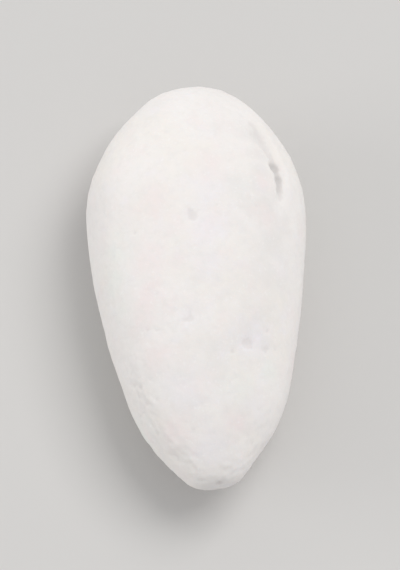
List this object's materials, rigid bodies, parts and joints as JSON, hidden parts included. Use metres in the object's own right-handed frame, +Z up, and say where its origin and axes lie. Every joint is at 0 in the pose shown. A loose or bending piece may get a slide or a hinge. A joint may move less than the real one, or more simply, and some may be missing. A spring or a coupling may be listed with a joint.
{
  "type": "sugared almond",
  "caption": "A whole almond in a thick, matt shell of white sugar: blunt at one end, round at the other, lying flat.",
  "frame": {"origin": "on the surface that the almond lies on, under the middle of its box", "axes": "+Y along the almond towards its round end, +X across it, +Z up through its thickness"},
  "size_m": [0.0168, 0.0326, 0.0124],
  "materials": {
    "sugar_shell": "matte"
  },
  "bodies": {
    "root": {"sugared_almond": "sugar_shell"}
  },
  "joints": []
}
